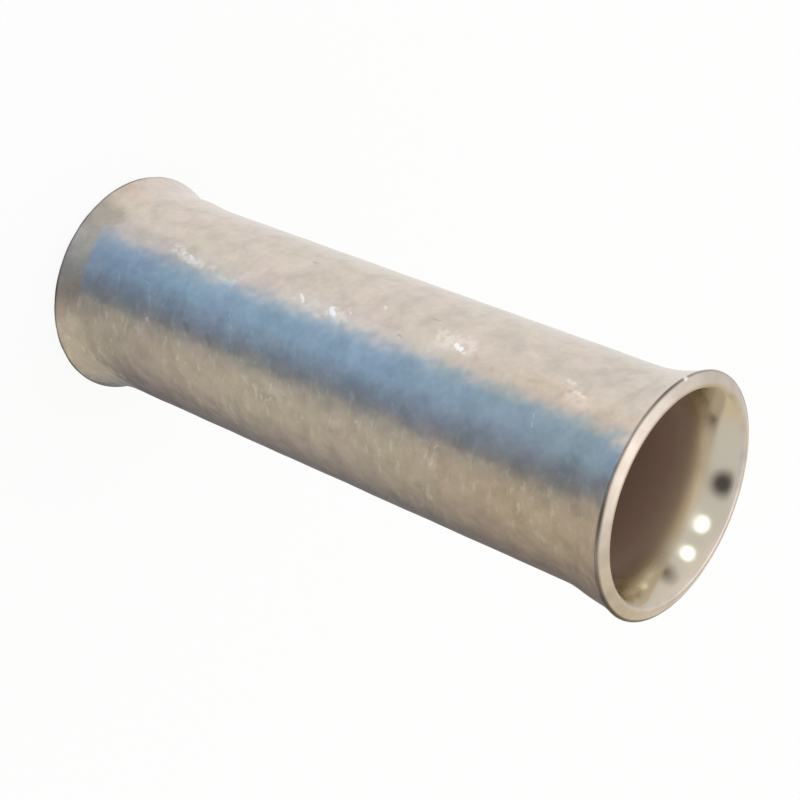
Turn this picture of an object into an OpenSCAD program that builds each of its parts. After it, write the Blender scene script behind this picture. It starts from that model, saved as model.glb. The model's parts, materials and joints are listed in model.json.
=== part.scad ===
// Flared butt splice: one length of heavy-wall copper tube, tinned all over and open right
// through, with both ends belled out so that a stranded conductor slips in. A conductor goes in
// from each end until the two meet in the middle, and the barrel is crimped over them. The tube
// stands on its lower rim: Z runs along its axis and the lower rim touches Z = 0.

/* [Barrel] */
// Length from rim to rim
overall_length = 53; // [30:0.5:90]
// Diameter of the straight bore that takes the conductors
bore_diameter = 12.4; // [6:0.1:20]
// Thickness of the tube wall along the barrel
wall_thickness = 1.7; // [1.4:0.05:2]

/* [Flares] */
// Angle from the axis to which the outer face of the wall is turned out at each rim
flare_angle = 24; // [18:1:36]
// Radius of the bend that turns it out
flare_bend_radius = 11; // [9:0.5:16]
// Thickness of the wall at each rim, thinner where belling has stretched it
rim_thickness = 1.1; // [0.9:0.05:1.4]

/* [Rim edges] */
// Radius on the outer edge of each rim
outer_edge_radius = 0.1; // [0.05:0.05:0.2]
// Radius on the inner edge of each rim, where the conductor slides in
inner_edge_radius = 0.3; // [0.1:0.05:0.4]

/* [Hidden] */
$fn = 180;

bore_radius = bore_diameter / 2;
barrel_radius = bore_radius + wall_thickness;

// The rim is cut square to the outer face, on a line from the centre of its bend, and so it
// slopes by the flare's angle. Directions in the section are for the lower end.
along_rim = [-cos(flare_angle), -sin(flare_angle)];
out_of_rim = [sin(flare_angle), -cos(flare_angle)];

// The inner face starts to bend at the same height as the outer one and runs to the inner corner
// of the rim. Its centre lies level with the outer bend's, at the offset from it. Its radius is
// kept to a whole step, so that the bend leaves the bore without a ledge.
radius_step = 0.001;
corner_distance = flare_bend_radius + rim_thickness;
inner_rise = flare_bend_radius + wall_thickness + corner_distance * along_rim.x;
corner_radius = (inner_rise ^ 2 + (corner_distance * along_rim.y) ^ 2) / (2 * inner_rise);
inner_bend_radius = radius_step * round(corner_radius / radius_step);
inner_bend_offset = inner_bend_radius - flare_bend_radius - wall_thickness;

// How far each round runs into the faces that it meets, so that they cross in a clean point
round_overlap = 0.0001;

// Centre of an edge's round, seen from the centre of the outer bend. The round touches the rim,
// and lies at centre_radius from the centre of the bend that it touches.
function round_centre(edge_radius, bend_offset, centre_radius) =
    let (to_foot = sqrt(centre_radius ^ 2 - (edge_radius + bend_offset * out_of_rim.x) ^ 2))
    (to_foot + bend_offset * along_rim.x) * along_rim - edge_radius * out_of_rim;

// Each flare runs up from the lowest point of its inner edge's round to the start of the bends
lowest_round = round_centre(inner_edge_radius, inner_bend_offset, inner_bend_radius - inner_edge_radius);
flare_length = inner_edge_radius + round_overlap - lowest_round.y;
bend_centre = [barrel_radius + flare_bend_radius, flare_length];

// Wall between the two bends, from the barrel's end round to the rim
module flare_wall() {
    intersection() {
        difference() {
            translate([inner_bend_offset, 0]) circle(inner_bend_radius);
            circle(flare_bend_radius);
        }
        polygon([[0, 0], [-bend_centre.x, 0], [-bend_centre.x, -bend_centre.x * tan(flare_angle)]]);
    }
}

// What an edge loses when it is rounded: all that lies outside the round, between the points
// where the round touches the rim and the bend. The cut runs on past the corner.
module corner_waste(edge_radius, bend_offset, centre_radius, side) {
    centre = round_centre(edge_radius, bend_offset, centre_radius);
    to_rim = wall_thickness * out_of_rim;
    to_bend = side * wall_thickness * (centre - [bend_offset, 0]) / centre_radius;
    translate(centre)
        difference() {
            polygon([[0, 0], to_rim, to_rim + to_bend, to_bend]);
            circle(edge_radius + round_overlap);
        }
}

module flare_section() {
    translate(bend_centre)
        difference() {
            flare_wall();
            corner_waste(outer_edge_radius, 0, flare_bend_radius + outer_edge_radius, -1);
            corner_waste(inner_edge_radius, inner_bend_offset, inner_bend_radius - inner_edge_radius, 1);
        }
}

module at_both_ends() {
    children();
    translate([0, overall_length]) mirror([0, 1]) children();
}

module wall_section() {
    difference() {
        translate([bore_radius, 0]) square([wall_thickness, overall_length]);
        at_both_ends() square([bend_centre.x, flare_length]);
    }
    at_both_ends() flare_section();
}

module splice_sleeve() {
    color("#c9c0b2") rotate_extrude() wall_section();
}

splice_sleeve();
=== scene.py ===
import json
import math

import bpy
import numpy as np
from mathutils import Matrix, Vector, noise


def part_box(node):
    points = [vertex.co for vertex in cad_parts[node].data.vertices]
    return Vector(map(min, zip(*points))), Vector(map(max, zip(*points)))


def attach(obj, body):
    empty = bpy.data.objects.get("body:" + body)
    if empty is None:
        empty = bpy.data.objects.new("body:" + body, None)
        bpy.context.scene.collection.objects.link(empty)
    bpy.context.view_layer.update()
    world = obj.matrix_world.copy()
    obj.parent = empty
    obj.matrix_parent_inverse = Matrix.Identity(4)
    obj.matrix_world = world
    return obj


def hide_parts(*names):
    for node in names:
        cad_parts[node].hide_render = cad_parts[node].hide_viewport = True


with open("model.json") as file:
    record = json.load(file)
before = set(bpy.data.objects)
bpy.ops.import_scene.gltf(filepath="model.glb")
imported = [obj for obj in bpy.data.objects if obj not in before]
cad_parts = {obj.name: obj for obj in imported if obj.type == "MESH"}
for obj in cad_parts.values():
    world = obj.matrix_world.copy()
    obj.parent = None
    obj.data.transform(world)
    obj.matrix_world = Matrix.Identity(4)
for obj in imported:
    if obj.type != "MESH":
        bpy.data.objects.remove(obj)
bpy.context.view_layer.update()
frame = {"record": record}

MM = 0.001

# Sizes of the section. Lengths are in millimetres, also below, unless a comment gives another unit.
low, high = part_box("splice_sleeve")
bore = next(m for m in frame["record"]["mounts"] if m["name"] == "conductor_bore")
LENGTH = round((high.z - low.z) / MM, 1)
BORE_RADIUS = bore["dims"]["r_mm"]
WALL = 1.7
RIM_WALL = 1.1
FLARE_ANGLE = math.radians(24)
OUTER_BEND = 11.0
OUTER_EDGE = 0.1
INNER_EDGE = 0.3
BARREL_RADIUS = BORE_RADIUS + WALL

# Directions along and out of the lower rim, in the section's (radius, height) plane
ALONG_RIM = np.array([-math.cos(FLARE_ANGLE), -math.sin(FLARE_ANGLE)])
OUT_OF_RIM = np.array([math.sin(FLARE_ANGLE), -math.cos(FLARE_ANGLE)])

# The inner face bends more sharply than the outer one, as the wall thins towards the rim. As in the
# solid, its radius is kept to this many decimals.
BEND_DECIMALS = 3
CORNER = (OUTER_BEND + RIM_WALL) * ALONG_RIM
INNER_RISE = OUTER_BEND + WALL + CORNER[0]
INNER_BEND = round((INNER_RISE ** 2 + CORNER[1] ** 2) / (2 * INNER_RISE), BEND_DECIMALS)
INNER_OFFSET = INNER_BEND - OUTER_BEND - WALL

# Mesh density
SEGMENTS = 384
BARREL_RINGS = 110
BORE_RINGS = 24
BEND_RINGS = 18
EDGE_RINGS = 5
FACE_RINGS = 6

# Rings this far short of the outer edge, in radians of the bend, carry the dark line of painted shade along
# it
LINE_RINGS = (0.022, 0.012)

# The section unrolls into a flat sheet, and UVs are its millimetres over this size
SHEET = 150.0

# Shallow dents in the outer wall, as (waves of noise to a millimetre, depth)
DENTS = ((0.35, 0.03), (0.9, 0.008))

# Places where a flare is belled fuller, as (degrees round, height, spread in degrees, reach)
FULLER_BY = 0.2
FULLER_PLACES = ((88, 50.2, 35, 1.5), (-90, 4.4, 32, 1.4))

# Nicks in the outer edges, where noise passes a level, a wobble of the rims, and the lean of the
# upper rim from a height upwards
NICK_DEPTH = 0.07
NICK_LEVEL = 0.25
WOBBLE = 0.03
LEAN = 0.12
LEAN_FROM = 46
LEAN_REACH = 7

# Noise along the rims is read on circles of its own space, given as (radius, height)
NICK_CIRCLE = (7, 3.3)
WOBBLE_CIRCLE = (1.2, 8.1)
LINE_CIRCLE = (3, 1.7)

# The dark line along the outer edges, which is painted shade: how far it reaches, and over what length it
# fades
LINE_REACH = 0.165
LINE_REACH_CHANGE = 0.02
LINE_FADE = 0.05

# The painted shade's strength, how much that changes from side to side and from place to place, and its
# least
LINE_STRENGTH = 0.78
LINE_BY_SIDE = 0.22
LINE_BY_PLACE = 0.4
LINE_LEAST = 0.2

# A painted glint, a bright spot in the line of the upper rim, with its azimuth and spread in degrees
SPOT_AZIMUTH = -56
SPOT_SPREAD = 1.0
SPOT_REACH = 0.4

# Scratches on the barrel as (way round, height) of both ends, half the width, and how strongly they show
SCRATCHES = (
    ((-3.7, 22.4), (-3.2, 23.0), 0.22, 0.7),
    ((-3.5, 25.6), (-3.1, 26.0), 0.33, 1.0),
    ((-3.9, 26.9), (-3.7, 27.2), 0.18, 0.45),
    ((-5.3, 29.1), (-5.1, 29.4), 0.15, 0.45),
    ((-4.4, 36.2), (-4.0, 37.2), 0.30, 1.0),
    ((-5.2, 36.8), (-5.0, 37.1), 0.18, 0.35),
    ((3.3, 23.1), (4.6, 23.0), 0.14, 0.4),
    ((4.6, 22.8), (5.5, 22.2), 0.11, 0.3),
    ((2.9, 24.7), (3.4, 25.1), 0.12, 0.35),
    ((2.8, 37.9), (4.0, 37.6), 0.10, 0.35),
    ((2.8, 38.5), (4.4, 38.1), 0.12, 0.5),
    ((4.2, 33.2), (5.2, 33.6), 0.09, 0.3),
    ((-1.7, 44.8), (-0.6, 45.2), 0.10, 0.4),
    ((-4.9, 45.6), (-4.6, 46.2), 0.22, 0.4),
    ((-4.2, 46.6), (-4.0, 47.4), 0.18, 0.5),
    ((-0.6, 17.5), (0.7, 18.2), 0.11, 0.35),
    ((0.5, 9.4), (1.3, 9.8), 0.11, 0.35),
    ((2.1, 9.6), (2.4, 9.8), 0.22, 0.7),
    ((0.0, 5.7), (1.2, 6.0), 0.10, 0.25),
    ((-3.5, 10.4), (-3.1, 11.9), 0.22, 0.6),
    ((-0.3, 8.3), (-0.1, 9.2), 0.10, 0.5),
)

# Patches where the tin is rubbed pale, given in the same way
PALE_PATCHES = (
    ((-3.6, 9.2), (-2.9, 12.4), 0.7, 1.0),
    ((-3.1, 13.8), (-2.5, 16.4), 0.6, 0.8),
    ((-3.5, 22.2), (-2.9, 25.2), 0.7, 0.8),
    ((-3.3, 25.4), (-2.9, 26.9), 0.8, 1.0),
    ((-4.5, 35.0), (-4.4, 37.4), 1.2, 1.0),
    ((-4.0, 46.2), (-3.6, 47.6), 0.9, 0.9),
    ((3.4, 22.6), (4.2, 24.8), 0.8, 0.7),
    ((4.1, 28.4), (4.5, 29.8), 0.7, 0.6),
    ((3.0, 37.4), (4.6, 38.6), 0.8, 0.7),
    ((4.6, 47.2), (5.0, 48.2), 0.6, 0.6),
)

# Dark marks on the barrel, given in the same way
DARK_MARKS = (
    ((-7.1, 20.6), (-7.0, 20.9), 0.16, 0.4),
    ((-5.8, 33.2), (-5.8, 33.8), 0.14, 0.35),
    ((1.6, 13.8), (1.9, 14.1), 0.4, 0.35),
    ((1.8, 16.1), (2.2, 16.5), 0.35, 0.35),
    ((-3.5, 31.9), (-3.4, 32.2), 0.14, 0.4),
)

# Share of a stroke's half width over which it has its full strength
STROKE_CORE = 0.25

# Noise on the tin, in waves to a millimetre, with the swirl of its mottle, and the roughness and height
# of its fine relief
PATCH_WAVES = 0.16
MOTTLE_WAVES = 0.6
MOTTLE_SWIRL = 0.3
GRAIN_WAVES = 2.6
RUB_WAVES = 1.5
RELIEF_WAVES = 0.7
RELIEF_ROUGHNESS = 0.45
RELIEF_HEIGHT = 0.11

# Colours by level of the noise: pinkish to yellowish patches of the tin, the tints of its mottle and
# grain, and the rim's face
PATCH_COLOURS = ((0.38, (0.66, 0.57, 0.51)), (0.6, (0.64, 0.572, 0.49)))
MOTTLE_TINTS = ((0.3, (0.89, 0.89, 0.89)), (0.5, (1.0, 1.0, 1.0)), (0.72, (1.09, 1.09, 1.09)))
GRAIN_TINTS = ((0.32, (0.975, 0.97, 0.985)), (0.68, (1.025, 1.03, 1.015)))
FACE_COLOURS = ((0.3, (0.57, 0.505, 0.45)), (0.7, (0.7, 0.625, 0.56)))

# Colours of the wear and of the ends, of the painted shade along the outer edges and of the painted glint in
# it
SCUFF_COLOUR = (0.86, 0.79, 0.71)
# Scratches are real wear, and their near-white colour is partly a painted glint
SCRATCH_GLINT_COLOUR = (0.96, 0.95, 0.93)
MARK_COLOUR = (0.29, 0.25, 0.26)
MOUTH_COLOUR = (0.68, 0.6, 0.47)
BORE_COLOUR = (0.485, 0.345, 0.275)
EDGE_SHADE_COLOUR = (0.1, 0.08, 0.065)
GLINT_COLOUR = (0.95, 0.94, 0.92)

# Wear: how far noise makes its lines stray, the way round over which the scuffs set in, and the levels
# of the patches over which they grow from their least share to the full one
STRAY = 0.5
WORN_WAY = (-2.5, 4.0)
WORN_LEVELS = (0.4, 0.6)
LEAST_WORN = 0.35

# Scuffs slant two ways, as (degrees, stretch, levels of the noise), and take this share of the colour
RIGHT_SCUFFS = (24, (0.6, 1.5, 1), (0.57, 0.7))
LEFT_SCUFFS = (-38, (0.9, 1.6, 1), (0.6, 0.72))
SCUFF_SHARE = 0.6

# Levels of the noise that break up the rubbed patches and the scratches
RUB_LEVELS = (0.4, 0.62)
SPECKLE_LEVELS = (0.36, 0.5)

# Depths inside the mouth over which it turns dull, and over which its shine blurs
DULL_DEPTHS = (2.4, 5.2)
BLUR_DEPTHS = (1.3, 2.4)

# Roughness, as one value or from least to most, and metallic shares below 1
TIN_ROUGHNESS = (0.13, 0.33)
SCRATCH_ROUGHNESS = 0.35
FACE_ROUGHNESS = 0.38
MOUTH_ROUGHNESS = (0.13, 0.27)
BORE_ROUGHNESS = 0.5
BORE_METALLIC = 0.45
GLINT_METALLIC = 0.2

# Light of the room: all round, overhead and behind the tube. The last two have the way that they come
# from and the levels along it over which they set in.
ROOM_LIGHT = (0.76, 0.78, 0.81)
OVERHEAD_LIGHT = (1.04, 1.02, 1.0)
OVERHEAD_WAY = (-0.35, 0.2, 0.9)
OVERHEAD_LEVELS = (0.35, 1.0)
BEHIND_LIGHT = (0.78, 0.71, 0.53)
BEHIND_WAY = (0.35, 0.75, 0.35)
BEHIND_LEVELS = (0.45, 0.9)

# Lamp over the tube, in metres and watts
LAMP_PLACE = Vector((-0.092, 0.118, 0.6))
LAMP_SIZE = 0.4
LAMP_POWER = 0.31
LAMP_COLOUR = (1, 0.98, 0.96)

# Floor, in metres: half its width and how far it lies under the rim. To the camera and in reflections
# it glows white by this share, and the rest is paint that takes the shadow.
FLOOR_REACH = 3.0
FLOOR_DROP = 0.00002
FLOOR_PAINT = (0.95, 0.95, 0.95, 1)
FLOOR_GLOW = 0.9

# Camera at the photograph's angle: its elevation, the slant of the tube's axis in the picture, and the
# place of the tube's middle in the camera's own axes
CAMERA_ELEVATION = math.radians(35.72)
AXIS_SLANT = math.radians(22.16)
MIDDLE_IN_VIEW = Vector((-1.53, 1.48, -147.7))
SENSOR_WIDTH = 36
FOCAL_LENGTH = 90.5
CLIP_START = 10

# The card that the barrel mirrors, which has a foot turned in under it, and the lower flare's card
CARD_FOOT_RADIUS = 8.95
CARD_RADIUS = 12.5
CARD_BOTTOM = 0.1
CARD_TOP = 48.7
FLARE_CARD_RADIUS = 9.6
FLARE_CARD_TOP = 1.9
CURVED_STEPS = 96

# What the barrel mirrors: pale, a strip of blue sky, dark, tan, darker towards its underside and pale
# again, as (degrees from the camera's side towards +X, colour)
BARREL_BANDS = (
    (-44, (1.0, 1.0, 1.0)),
    (-31, (0.93, 0.97, 1.02)),
    (-24, (0.56, 0.76, 1.0)),
    (-18, (0.39, 0.64, 0.96)),
    (-4, (0.34, 0.56, 0.85)),
    (4, (0.29, 0.44, 0.66)),
    (13, (0.25, 0.34, 0.49)),
    (21, (0.28, 0.33, 0.4)),
    (29, (0.48, 0.49, 0.47)),
    (40, (0.6, 0.58, 0.51)),
    (62, (0.55, 0.53, 0.46)),
    (82, (0.4, 0.38, 0.35)),
    (97, (0.26, 0.25, 0.25)),
    (118, (0.18, 0.18, 0.19)),
    (140, (0.33, 0.33, 0.33)),
    (165, (0.96, 0.96, 0.96)),
)

# Tints towards the lower and upper edge of the barrel's card, and the shares of its height over which
# they set in
BARREL_TINTS = ((0.84, 0.84, 0.87), (1.0, 0.93, 0.85))
LOWER_TINT_FADE = (0.25, 0.0)
UPPER_TINT_FADE = (0.55, 0.9)

# What the lower flare mirrors, given as the barrel's bands are
FLARE_BANDS = (
    (-60, (0.98, 0.94, 0.89)),
    (-46, (0.92, 0.9, 0.87)),
    (-33, (0.62, 0.65, 0.63)),
    (-10, (0.51, 0.58, 0.61)),
    (7, (0.3, 0.34, 0.38)),
    (22, (0.31, 0.3, 0.3)),
    (40, (0.64, 0.62, 0.54)),
    (66, (0.63, 0.6, 0.52)),
    (88, (0.48, 0.46, 0.42)),
    (101, (0.34, 0.34, 0.34)),
    (130, (0.24, 0.24, 0.24)),
    (155, (0.94, 0.94, 0.94)),
)

# Round cards that the mouth mirrors stand this far from a place on its far side
MOUTH_PLACE = Vector((0, 7, LENGTH - 1))
MOUTH_CARD_DISTANCE = 120
ROUND_STEPS = 48

# Two small lamps, a dark thing and a shade, as (name, azimuth and elevation in degrees, radius, colour,
# strength, share of the radius over which it fades into the room)
LAMP_CARD_COLOUR = (0.85, 0.93, 1.0)
LAMP_CARD_STRENGTH = 2.4
MOUTH_CARDS = (
    ("lamp_card_a", -15, 23, 20.5, LAMP_CARD_COLOUR, LAMP_CARD_STRENGTH, 0.25),
    ("lamp_card_b", -50, 21, 18.5, LAMP_CARD_COLOUR, LAMP_CARD_STRENGTH, 0.25),
    ("dark_card", 33, 29, 37, (0.08, 0.075, 0.085), 1.0, 0.65),
    ("shade_card", -82, 8, 33, (0.17, 0.14, 0.12), 1.0, 0.9),
)


def arc(centre, radius, angles):
    """Points on a circle at the given angles."""
    return [(centre[0] + radius * math.cos(a), centre[1] + radius * math.sin(a)) for a in angles]


def round_centre(edge_radius, bend_offset, centre_radius):
    """Centre of an edge's round, seen from the centre of the outer bend."""
    to_foot = math.sqrt(centre_radius ** 2 - (edge_radius + bend_offset * OUT_OF_RIM[0]) ** 2)
    return (to_foot + bend_offset * ALONG_RIM[0]) * ALONG_RIM - edge_radius * OUT_OF_RIM


OUTER_ROUND = round_centre(OUTER_EDGE, 0, OUTER_BEND + OUTER_EDGE)
INNER_ROUND = round_centre(INNER_EDGE, INNER_OFFSET, INNER_BEND - INNER_EDGE)
FLARE_LENGTH = INNER_EDGE - INNER_ROUND[1]
OUTER_CENTRE = np.array([BARREL_RADIUS + OUTER_BEND, FLARE_LENGTH])
INNER_CENTRE = OUTER_CENTRE + np.array([INNER_OFFSET, 0])


def end_section():
    """The lower end's section from the barrel over the rim into the bore, as (radius, height, zone) rows."""
    outer_turn = math.atan2(-OUTER_ROUND[1], -OUTER_ROUND[0])
    inner_turn = math.atan2(-INNER_ROUND[1], INNER_OFFSET - INNER_ROUND[0])
    face_way = FLARE_ANGLE - math.pi / 2
    flare_angles = list(np.linspace(0, outer_turn, BEND_RINGS))
    flare_angles[-1:] = [outer_turn - short for short in LINE_RINGS] + [outer_turn]
    edge_angles = np.linspace(outer_turn, face_way, EDGE_RINGS)
    lip_angles = np.linspace(face_way, inner_turn - math.pi, EDGE_RINGS)
    mouth_angles = np.linspace(math.pi + inner_turn, math.pi, BEND_RINGS)
    outer_edge = arc(OUTER_CENTRE + OUTER_ROUND, OUTER_EDGE, edge_angles)
    inner_edge = arc(OUTER_CENTRE + INNER_ROUND, INNER_EDGE, lip_angles)
    across = np.array(inner_edge[0]) - np.array(outer_edge[-1])
    face = [np.array(outer_edge[-1]) + k * across for k in np.linspace(0, 1, FACE_RINGS + 2)[1:-1]]
    rows = []
    for zone, points in (
        ("flare", arc(OUTER_CENTRE, OUTER_BEND, [math.pi + a for a in flare_angles])),
        ("edge", outer_edge[1:]),
        ("face", face),
        ("lip", inner_edge),
        ("mouth", arc(INNER_CENTRE, INNER_BEND, mouth_angles)[1:]),
    ):
        rows += [(r, z, zone) for r, z in points]
    return rows


def wall_section():
    """The closed section: barrel upwards, upper end, bore downwards, lower end."""
    end = end_section()
    upper = [(r, LENGTH - z, zone) for r, z, zone in end]
    lower = list(reversed(end))
    top = LENGTH - FLARE_LENGTH
    barrel_heights = np.linspace(FLARE_LENGTH, top, BARREL_RINGS + 2)[1:-1]
    bore_heights = np.linspace(top, FLARE_LENGTH, BORE_RINGS + 2)[1:-1]
    barrel = [(BARREL_RADIUS, z, "barrel") for z in barrel_heights]
    inside = [(BORE_RADIUS, z, "bore") for z in bore_heights]
    return barrel + upper + inside + lower


def bulge(azimuth, height, at_azimuth, at_height, spread, reach):
    """A soft swelling round one place on the wall, 1 at its middle.

    The place's azimuth and the spread are in degrees, the other azimuth in radians.
    """
    turn = (np.degrees(azimuth) - at_azimuth) / spread
    rise = (height - at_height) / reach
    return np.exp(-turn ** 2 - rise ** 2)


def noise_round(azimuth, circle):
    """Noise along a rim, one value for each azimuth."""
    radius, height = circle
    places = [Vector((radius * math.sin(a), radius * math.cos(a), height)) for a in azimuth]
    return np.array([noise.noise(place) for place in places])


def uneven_points(radius, height, zone, azimuth):
    """The sleeve's points, ring by ring, with its dents, fuller places, nicks, wobble and lean."""
    around, up = np.meshgrid(azimuth, height)
    r = np.repeat(radius[:, None], SEGMENTS, axis=1)

    outside = np.isin(zone, ("barrel", "flare"))
    dents = np.zeros_like(r)
    for i in np.flatnonzero(outside):
        for j in range(SEGMENTS):
            a = around[i, j]
            point = Vector((r[i, j] * math.sin(a), -r[i, j] * math.cos(a), up[i, j]))
            dents[i, j] = sum(depth * noise.noise(point * waves) for waves, depth in DENTS)
    fuller = sum(FULLER_BY * bulge(around, up, *place) for place in FULLER_PLACES)
    r = r + np.where(outside[:, None], dents + fuller, 0)

    # Nicks and wobble always go inwards
    nick = np.maximum(0, noise_round(azimuth, NICK_CIRCLE) - NICK_LEVEL)
    wobble = 0.5 + 0.5 * noise_round(azimuth, WOBBLE_CIRCLE)
    r = r - np.where((zone == "edge")[:, None], NICK_DEPTH * nick, 0)
    inwards = np.sign(LENGTH / 2 - height)
    at_rim = np.isin(zone, ("edge", "face", "lip"))
    up = up + np.where(at_rim[:, None], WOBBLE * inwards[:, None] * wobble, 0)

    lean = np.clip((up - LEAN_FROM) / LEAN_REACH, 0, 1) ** 2
    x = r * np.sin(around) - LEAN * lean
    y = -r * np.cos(around)
    return np.stack([x, y, up], axis=-1)


def edge_shade_and_glint(radius, depth, zone, azimuth, up):
    """Strength of the painted shade, a dark line along the outer edges, and of the painted glint, a bright
    spot in it.
    """
    # The painted shade is stronger towards +X, which is the lower side in the photograph
    side = np.sin(azimuth)
    patchy = noise_round(azimuth, LINE_CIRCLE)
    line = np.clip(LINE_STRENGTH + LINE_BY_SIDE * side + LINE_BY_PLACE * patchy, LINE_LEAST, 1)
    reach = LINE_REACH + LINE_REACH_CHANGE * side + LINE_REACH_CHANGE * patchy
    edge = OUTER_CENTRE + OUTER_ROUND
    distance = np.hypot(radius - edge[0], depth - edge[1])
    near_edge = np.clip((reach[None, :] - distance[:, None]) / LINE_FADE, 0, 1)
    near_edge = np.where(np.isin(zone, ("flare", "edge", "face"))[:, None], near_edge, 0)
    spot = bulge(azimuth[None, :], up, SPOT_AZIMUTH, LENGTH - SPOT_REACH, SPOT_SPREAD, SPOT_REACH)
    bare = np.where(near_edge > 0, spot, 0)
    return near_edge * line[None, :] * (1 - bare), bare


def add_sheet(mesh, radius, height, azimuth):
    """UVs on the unrolled sheet: across it the way round the barrel, up it the way along the section."""
    step = np.hypot(np.diff(radius, append=radius[0]), np.diff(height, append=height[0]))
    along = FLARE_LENGTH + step[-1] + np.concatenate([[0], np.cumsum(step)])
    u = 0.5 + BARREL_RADIUS * azimuth / SHEET
    v = along / SHEET
    u0, v0 = np.meshgrid(u[:-1], v[:-1])
    u1, v1 = np.meshgrid(u[1:], v[1:])
    corners = np.stack([u0, v0, u1, v0, u1, v1, u0, v1], axis=-1)
    layer = mesh.uv_layers.new(name="sheet")
    layer.data.foreach_set("uv", corners.astype(np.float32).ravel())


def build_sleeve():
    section = wall_section()
    radius = np.array([row[0] for row in section])
    height = np.array([row[1] for row in section])
    zone = np.array([row[2] for row in section])

    # Azimuth runs from the back, over -X, the camera's side at zero and +X, round to the back
    azimuth = -math.pi + np.arange(SEGMENTS + 1) * 2 * math.pi / SEGMENTS
    points = uneven_points(radius, height, zone, azimuth[:-1])

    # Each point joins its neighbour round the ring and both their followers on the next ring
    index = np.arange(len(section) * SEGMENTS).reshape(len(section), SEGMENTS)
    neighbour = np.roll(index, -1, axis=1)
    corners = [index, neighbour, np.roll(neighbour, -1, axis=0), np.roll(index, -1, axis=0)]
    faces = np.stack(corners, axis=-1).reshape(-1, 4)
    mesh = bpy.data.meshes.new("tinned_sleeve")
    mesh.from_pydata((points.reshape(-1, 3) * MM).tolist(), [], faces.tolist())
    mesh.shade_smooth()
    add_sheet(mesh, radius, height, azimuth)

    # What the material reads at each point: its zone, its depth inside, and the painted shade and painted
    # glint on the edges
    depth = np.minimum(height, LENGTH - height)
    line, bare = edge_shade_and_glint(radius, depth, zone, azimuth[:-1], points[..., 2])
    for name, values in (
        ("polished", (zone == "mouth")[:, None]),
        ("depth", np.where(np.isin(zone, ("mouth", "bore")), depth, 0)[:, None]),
        ("face", np.isin(zone, ("face", "lip"))[:, None]),
        ("wall", np.isin(zone, ("barrel", "flare"))[:, None]),
        ("edge_line", line),
        ("bare", bare),
    ):
        made = mesh.attributes.new(name, "FLOAT", "POINT")
        made.data.foreach_set("value", np.broadcast_to(values, index.shape).astype(np.float32).ravel())
    sleeve = bpy.data.objects.new("tinned_sleeve", mesh)
    bpy.context.scene.collection.objects.link(sleeve)
    return sleeve


def new_material(name):
    material = bpy.data.materials.new(name)
    material.use_nodes = True
    tree = material.node_tree
    tree.nodes.clear()
    output = tree.nodes.new("ShaderNodeOutputMaterial")
    return material, tree, output


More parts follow.
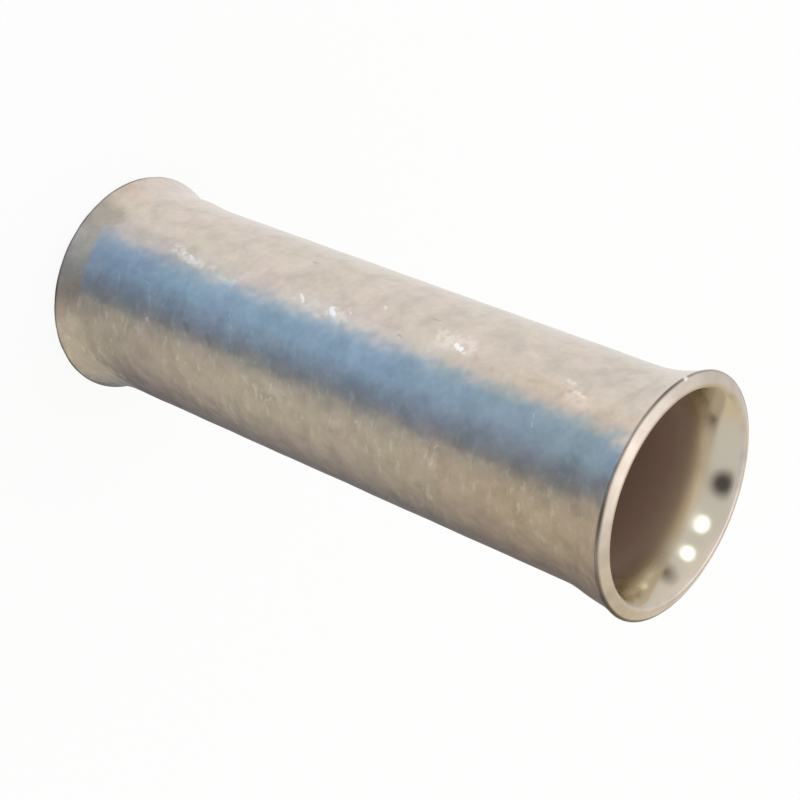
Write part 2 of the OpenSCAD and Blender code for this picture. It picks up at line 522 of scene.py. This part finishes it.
class Shading:
    """Short ways to add nodes to a tree. A value is a number, a colour or another node's output."""

    def __init__(self, tree):
        self.nodes, self.links = tree.nodes, tree.links

    def put(self, socket, value):
        if isinstance(value, bpy.types.NodeSocket):
            self.links.new(value, socket)
        else:
            socket.default_value = value

    def put_colour(self, socket, value):
        self.put(socket, value if isinstance(value, bpy.types.NodeSocket) else (*value, 1.0))

    def math(self, operation, first, second, clamp=False):
        node = self.nodes.new("ShaderNodeMath")
        node.operation = operation
        node.use_clamp = clamp
        self.put(node.inputs[0], first)
        self.put(node.inputs[1], second)
        return node.outputs[0]

    def vector(self, operation, *values):
        node = self.nodes.new("ShaderNodeVectorMath")
        node.operation = operation
        for socket, value in zip(node.inputs, values):
            self.put(socket, value)
        return node.outputs["Value"] if operation in ("DOT_PRODUCT", "DISTANCE") else node.outputs["Vector"]

    def scale(self, vector, factor):
        node = self.nodes.new("ShaderNodeVectorMath")
        node.operation = "SCALE"
        self.put(node.inputs[0], vector)
        self.put(node.inputs["Scale"], factor)
        return node.outputs["Vector"]

    def part(self, vector, axis):
        node = self.nodes.new("ShaderNodeSeparateXYZ")
        self.put(node.inputs[0], vector)
        return node.outputs[axis]

    def between(self, value, start, end, top=1.0):
        """0 at start and the top value at end, smooth and held outside."""
        node = self.nodes.new("ShaderNodeMapRange")
        node.interpolation_type = "SMOOTHSTEP"
        self.put(node.inputs["Value"], value)
        node.inputs["From Min"].default_value = start
        node.inputs["From Max"].default_value = end
        node.inputs["To Max"].default_value = top
        return node.outputs["Result"]

    def noise(self, vector, waves, detail=2, rough=0.5, swirl=0.0):
        """The outputs of a noise node, which are one value (Fac) and three at once (Color)."""
        node = self.nodes.new("ShaderNodeTexNoise")
        node.inputs["Scale"].default_value = waves
        node.inputs["Detail"].default_value = detail
        node.inputs["Roughness"].default_value = rough
        node.inputs["Distortion"].default_value = swirl
        self.put(node.inputs["Vector"], vector)
        return node.outputs

    def stretched(self, vector, turn, stretch):
        node = self.nodes.new("ShaderNodeMapping")
        node.inputs["Rotation"].default_value = (0, 0, math.radians(turn))
        node.inputs["Scale"].default_value = stretch
        self.put(node.inputs["Vector"], vector)
        return node.outputs["Vector"]

    def ramp(self, value, stops):
        node = self.nodes.new("ShaderNodeValToRGB")
        elements = node.color_ramp.elements
        elements.remove(elements[1])
        for i, (position, colour) in enumerate(stops):
            element = elements[0] if i == 0 else elements.new(position)
            element.position = position
            element.color = (*colour, 1.0)
        self.put(node.inputs["Fac"], value)
        return node.outputs["Color"]

    def mix_colour(self, share, first, second, blend="MIX"):
        # A mix node's inputs 6 and 7 and its output 2 are the ones for colours
        node = self.nodes.new("ShaderNodeMix")
        node.data_type = "RGBA"
        node.blend_type = blend
        self.put(node.inputs[0], share)
        self.put_colour(node.inputs[6], first)
        self.put_colour(node.inputs[7], second)
        return node.outputs[2]

    def tinted(self, colour, tint):
        return self.mix_colour(1.0, colour, tint, "MULTIPLY")

    def mix_value(self, share, first, second):
        # A mix node's inputs 2 and 3 and its output 0 are the ones for numbers
        node = self.nodes.new("ShaderNodeMix")
        node.data_type = "FLOAT"
        self.put(node.inputs[0], share)
        self.put(node.inputs[2], first)
        self.put(node.inputs[3], second)
        return node.outputs[0]

    def attribute(self, name):
        node = self.nodes.new("ShaderNodeAttribute")
        node.attribute_name = name
        return node.outputs["Fac"]

    def uv(self, name):
        node = self.nodes.new("ShaderNodeUVMap")
        node.uv_map = name
        return node.outputs[0]

    def stroke(self, place, start, end, width, strength):
        """The strength along a stroke between two points of the sheet, 0 beyond its width."""
        way = Vector((end[0] - start[0], end[1] - start[1], 0))
        offset = self.vector("SUBTRACT", place, (*start, 0))
        along = self.vector("DOT_PRODUCT", offset, way)
        share = self.math("MULTIPLY", along, 1 / way.length_squared, clamp=True)
        gap = self.vector("DISTANCE", offset, self.scale(way, share))
        return self.between(gap, width, STROKE_CORE * width, strength)

    def strokes(self, place, marks):
        total = self.stroke(place, *marks[0])
        for mark in marks[1:]:
            total = self.math("MAXIMUM", total, self.stroke(place, *mark))
        return total

    def scuffs(self, place, turn, stretch, levels):
        return self.between(self.noise(self.stretched(place, turn, stretch), 1.0)["Fac"], *levels)


def tinned_material():
    material, tree, output = new_material("tinned_copper")
    s = Shading(tree)
    shader = tree.nodes.new("ShaderNodeBsdfPrincipled")
    tree.links.new(shader.outputs[0], output.inputs["Surface"])

    # Places in millimetres: in space, and on the unrolled sheet
    coords = tree.nodes.new("ShaderNodeTexCoord")
    space = s.scale(coords.outputs["Object"], 1 / MM)
    sheet = s.vector("MULTIPLY_ADD", s.uv("sheet"), (SHEET, SHEET, 0), (-SHEET / 2, 0, 0))

    wall = s.attribute("wall")
    polished = s.attribute("polished")
    depth = s.attribute("depth")
    dull = s.between(depth, *DULL_DEPTHS)
    face = s.attribute("face")
    edge_line = s.attribute("edge_line")
    bare = s.attribute("bare")

    # Tin on the outer wall: grey with pinkish and yellowish patches, a mottle and a fine grain
    patch = s.noise(space, PATCH_WAVES)["Fac"]
    mottle = s.noise(space, MOTTLE_WAVES, swirl=MOTTLE_SWIRL)["Fac"]
    grain = s.noise(space, GRAIN_WAVES, detail=1)["Color"]
    colour = s.tinted(s.ramp(patch, PATCH_COLOURS), s.ramp(mottle, MOTTLE_TINTS))
    colour = s.tinted(colour, s.ramp(s.part(grain, "X"), GRAIN_TINTS))

    # Pale scuffs slant across the worn side, and rubbed patches, scratches and dark marks have their places
    strays = s.vector("MULTIPLY_ADD", grain, (STRAY, STRAY, 0), (-STRAY / 2, -STRAY / 2, 0))
    wavy = s.vector("ADD", sheet, strays)
    worn = s.math("MULTIPLY", wall, s.between(s.part(sheet, "X"), *WORN_WAY))
    worn = s.math("MULTIPLY", worn, s.mix_value(s.between(patch, *WORN_LEVELS), LEAST_WORN, 1.0))
    scuffs = s.math("MAXIMUM", s.scuffs(wavy, *RIGHT_SCUFFS), s.scuffs(wavy, *LEFT_SCUFFS))
    scuffs = s.math("MULTIPLY", scuffs, worn)
    rubbing = s.between(s.noise(space, RUB_WAVES)["Fac"], *RUB_LEVELS)
    scuffs = s.math("MAXIMUM", scuffs, s.math("MULTIPLY", s.strokes(wavy, PALE_PATCHES), rubbing))
    speckle = s.between(s.part(grain, "Z"), *SPECKLE_LEVELS)
    scratches = s.math("MULTIPLY", s.strokes(wavy, SCRATCHES), speckle)
    colour = s.mix_colour(s.strokes(wavy, DARK_MARKS), colour, MARK_COLOUR)
    colour = s.mix_colour(s.math("MULTIPLY", scuffs, SCUFF_SHARE), colour, SCUFF_COLOUR)
    # Scratches, which are real wear, are painted near white, partly as glints
    colour = s.mix_colour(scratches, colour, SCRATCH_GLINT_COLOUR)

    # The rim's face, the polished mouth, the dull bore, the outer edge's dark line of painted shade and the
    # painted glint in it
    colour = s.mix_colour(face, colour, s.ramp(mottle, FACE_COLOURS))
    colour = s.mix_colour(polished, colour, MOUTH_COLOUR)
    colour = s.mix_colour(dull, colour, BORE_COLOUR)
    colour = s.mix_colour(edge_line, colour, EDGE_SHADE_COLOUR)
    colour = s.mix_colour(bare, colour, GLINT_COLOUR)
    s.put(shader.inputs["Base Color"], colour)

    metal = s.mix_value(dull, 1.0, BORE_METALLIC)
    # The painted glint is mostly matte white
    metal = s.mix_value(bare, metal, GLINT_METALLIC)
    s.put(shader.inputs["Metallic"], metal)
    rough = s.mix_value(mottle, *TIN_ROUGHNESS)
    rough = s.mix_value(scratches, rough, SCRATCH_ROUGHNESS)
    rough = s.mix_value(face, rough, FACE_ROUGHNESS)
    rough = s.mix_value(polished, rough, s.mix_value(s.between(depth, *BLUR_DEPTHS), *MOUTH_ROUGHNESS))
    rough = s.mix_value(dull, rough, BORE_ROUGHNESS)
    s.put(shader.inputs["Roughness"], rough)

    # Fine unevenness of the outer wall
    relief = s.noise(space, RELIEF_WAVES, detail=1, rough=RELIEF_ROUGHNESS)["Fac"]
    bump = tree.nodes.new("ShaderNodeBump")
    bump.inputs["Strength"].default_value = 1.0
    bump.inputs["Distance"].default_value = RELIEF_HEIGHT * MM
    s.put(bump.inputs["Height"], s.math("MULTIPLY", relief, wall))
    s.put(shader.inputs["Normal"], bump.outputs[0])
    return material


def glow_material(name, stops, strength, tints):
    """A card's light: stops of colour along the card, with tints towards its lower and upper edge."""
    material, tree, output = new_material(name)
    s = Shading(tree)
    place = s.uv("card")
    shown = s.ramp(s.part(place, "X"), stops)
    if tints:
        height = s.part(place, "Y")
        for tint, fade in zip(tints, (LOWER_TINT_FADE, UPPER_TINT_FADE)):
            shown = s.mix_colour(s.between(height, *fade), shown, s.tinted(shown, tint))
    glow = tree.nodes.new("ShaderNodeEmission")
    glow.inputs["Strength"].default_value = strength
    s.put(glow.inputs["Color"], shown)
    tree.links.new(glow.outputs[0], output.inputs["Surface"])
    return material


def only_reflected(obj):
    """A card is seen only in reflections, and neither lights nor shades the floor."""
    obj.visible_camera = False
    obj.visible_diffuse = False
    obj.visible_shadow = False
    obj.visible_transmission = False
    obj.visible_volume_scatter = False


def add_card(name, verts, faces, uvs, stops, strength, tints=None):
    mesh = bpy.data.meshes.new(name)
    mesh.from_pydata(verts, [], faces)
    layer = mesh.uv_layers.new(name="card")
    for loop, index in zip(layer.data, (i for face in faces for i in face)):
        loop.uv = uvs[index]
    mesh.materials.append(glow_material(name, stops, strength, tints))
    card = bpy.data.objects.new(name, mesh)
    bpy.context.scene.collection.objects.link(card)
    only_reflected(card)


def curved_card(name, rows, bands, tints=None):
    """A card bent round the tube's axis through rows of (radius, height)."""
    start, end = bands[0][0], bands[-1][0]
    bottom, top = rows[0][1], rows[-1][1]
    verts, uvs = [], []
    for i in range(CURVED_STEPS + 1):
        a = math.radians(start + (end - start) * i / CURVED_STEPS)
        for radius, height in rows:
            verts.append((radius * math.sin(a) * MM, -radius * math.cos(a) * MM, height * MM))
            uvs.append((i / CURVED_STEPS, (height - bottom) / (top - bottom)))
    count = len(rows)
    corners = [(i * count + k, (i + 1) * count + k) for i in range(CURVED_STEPS) for k in range(count - 1)]
    faces = [(near, far, far + 1, near + 1) for near, far in corners]
    stops = [((degrees - start) / (end - start), colour) for degrees, colour in bands]
    add_card(name, verts, faces, uvs, stops, 1.0, tints)


def mouth_card(name, azimuth, elevation, radius, colour, strength, softness):
    """A round card that faces the upper mouth from the given direction."""
    a, e = math.radians(azimuth), math.radians(elevation)
    away = Vector((math.sin(a) * math.cos(e), -math.cos(a) * math.cos(e), math.sin(e)))
    centre = MOUTH_PLACE + MOUTH_CARD_DISTANCE * away
    turn = away.to_track_quat("Z", "Y")
    verts = [tuple(centre * MM)]
    for i in range(ROUND_STEPS):
        t = 2 * math.pi * i / ROUND_STEPS
        verts.append(tuple((centre + turn @ Vector((radius * math.cos(t), radius * math.sin(t), 0))) * MM))
    faces = [(0, 1 + i, 1 + (i + 1) % ROUND_STEPS) for i in range(ROUND_STEPS)]
    uvs = [(0, 0)] + [(1, 0)] * ROUND_STEPS
    rim = tuple(c / strength for c in ROOM_LIGHT)
    add_card(name, verts, faces, uvs, [(0.0, colour), (1 - softness, colour), (1.0, rim)], strength)


def build_floor():
    sides = ((-1, -1), (1, -1), (1, 1), (-1, 1))
    corners = [(x * FLOOR_REACH, y * FLOOR_REACH, -FLOOR_DROP) for x, y in sides]
    mesh = bpy.data.meshes.new("floor")
    mesh.from_pydata(corners, [], [(0, 1, 2, 3)])
    material, tree, output = new_material("floor")
    nodes, links = tree.nodes, tree.links
    paint = nodes.new("ShaderNodeBsdfDiffuse")
    paint.inputs["Color"].default_value = FLOOR_PAINT
    glow = nodes.new("ShaderNodeEmission")
    glow.inputs["Strength"].default_value = 1.0
    path = nodes.new("ShaderNodeLightPath")
    s = Shading(tree)
    seen = s.math("MAXIMUM", path.outputs["Is Camera Ray"], path.outputs["Is Glossy Ray"])
    seen = s.math("MAXIMUM", seen, path.outputs["Is Transmission Ray"])
    mix = nodes.new("ShaderNodeMixShader")
    links.new(s.math("MULTIPLY", seen, FLOOR_GLOW), mix.inputs[0])
    links.new(paint.outputs[0], mix.inputs[1])
    links.new(glow.outputs[0], mix.inputs[2])
    links.new(mix.outputs[0], output.inputs["Surface"])
    mesh.materials.append(material)
    floor = bpy.data.objects.new("floor", mesh)
    bpy.context.scene.collection.objects.link(floor)


def build_world():
    """A pale room, brighter overhead and warmer behind the tube."""
    world = bpy.data.worlds.new("studio")
    world.use_nodes = True
    tree = world.node_tree
    s = Shading(tree)
    way = tree.nodes.new("ShaderNodeTexCoord").outputs["Generated"]
    overhead = s.between(s.vector("DOT_PRODUCT", way, OVERHEAD_WAY), *OVERHEAD_LEVELS)
    behind = s.between(s.vector("DOT_PRODUCT", way, BEHIND_WAY), *BEHIND_LEVELS)
    room = s.ramp(overhead, [(0.0, ROOM_LIGHT), (1.0, OVERHEAD_LIGHT)])
    room = s.mix_colour(behind, room, BEHIND_LIGHT)
    background = tree.nodes["Background"]
    s.put(background.inputs["Color"], room)
    background.inputs["Strength"].default_value = 1.0
    bpy.context.scene.world = world


def build_lamp():
    """A round lamp that points at the middle of the floor."""
    lamp = bpy.data.lights.new("overhead", "AREA")
    lamp.shape = "DISK"
    lamp.size = LAMP_SIZE
    lamp.energy = LAMP_POWER
    lamp.color = LAMP_COLOUR
    obj = bpy.data.objects.new("overhead", lamp)
    obj.location = LAMP_PLACE
    obj.rotation_euler = (-LAMP_PLACE).to_track_quat("-Z", "Y").to_euler()
    bpy.context.scene.collection.objects.link(obj)


def build_camera():
    back = Vector((0, -math.cos(CAMERA_ELEVATION), math.sin(CAMERA_ELEVATION)))
    along = Vector((0, math.sin(CAMERA_ELEVATION), math.cos(CAMERA_ELEVATION)))
    side = Vector((1, 0, 0))
    right = math.cos(AXIS_SLANT) * along - math.sin(AXIS_SLANT) * side
    up = -math.sin(AXIS_SLANT) * along - math.cos(AXIS_SLANT) * side
    turn = Matrix((right, up, back)).transposed()
    middle = Vector((0, 0, LENGTH / 2))
    data = bpy.data.cameras.new("camera")
    data.sensor_width = SENSOR_WIDTH
    data.lens = FOCAL_LENGTH
    data.clip_start = CLIP_START * MM
    camera = bpy.data.objects.new("camera", data)
    camera.matrix_world = Matrix.Translation((middle - turn @ MIDDLE_IN_VIEW) * MM) @ turn.to_4x4()
    bpy.context.scene.collection.objects.link(camera)
    bpy.context.scene.camera = camera


build_camera()
sleeve = build_sleeve()
sleeve.data.materials.append(tinned_material())
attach(sleeve, "root")
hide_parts("splice_sleeve")
build_floor()
build_world()
build_lamp()
card_rows = ((CARD_FOOT_RADIUS, CARD_BOTTOM), (CARD_RADIUS, CARD_BOTTOM), (CARD_RADIUS, CARD_TOP))
curved_card("barrel_card", card_rows, BARREL_BANDS, BARREL_TINTS)
curved_card("lower_flare_card", ((FLARE_CARD_RADIUS, 0), (FLARE_CARD_RADIUS, FLARE_CARD_TOP)), FLARE_BANDS)
for card in MOUTH_CARDS:
    mouth_card(*card)

bpy.context.scene.view_settings.view_transform = "Standard"
